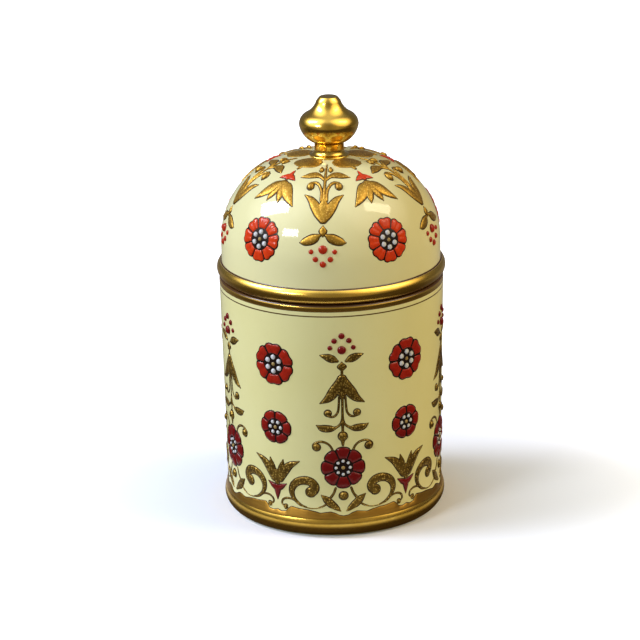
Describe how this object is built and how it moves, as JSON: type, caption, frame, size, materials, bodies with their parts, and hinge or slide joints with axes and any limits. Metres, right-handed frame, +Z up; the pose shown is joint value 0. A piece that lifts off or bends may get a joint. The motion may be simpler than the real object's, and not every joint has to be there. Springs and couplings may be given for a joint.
{
  "type": "covered jar",
  "caption": "Round glazed jar with a lift-off domed cover, moulded bead at the seat, turned knob, and raised enamel rosettes and berries round the jar and the cover.",
  "frame": {"origin": "middle of the foot, on the surface that the jar stands on", "axes": "+Z up along the jar's axis, through the knob; -Y towards the side shown in the picture, +X to its right"},
  "size_m": [0.065, 0.065, 0.1202],
  "materials": {
    "cream_glaze": "gloss glaze with painted gilding",
    "gilding": "burnished gilding over glazed porcelain",
    "red_enamel": "gloss enamel",
    "orange_red_enamel": "gloss enamel",
    "dark_red_enamel": "gloss enamel",
    "cream_enamel": "gloss enamel"
  },
  "bodies": {
    "jar": {"jar": "cream_glaze", "jar_petals": "red_enamel", "jar_pearls": "cream_enamel", "jar_berries": "dark_red_enamel"},
    "cover": {"cover": "cream_glaze", "cover_petals": "orange_red_enamel", "cover_pearls": "cream_enamel", "cover_berries": "dark_red_enamel", "knob": "gilding"}
  },
  "joints": [
    {"name": "cover_lift", "type": "slide", "parent": "jar", "child": "cover", "axis": [0, 0, 1], "range_m": [0, 0.06]}
  ]
}
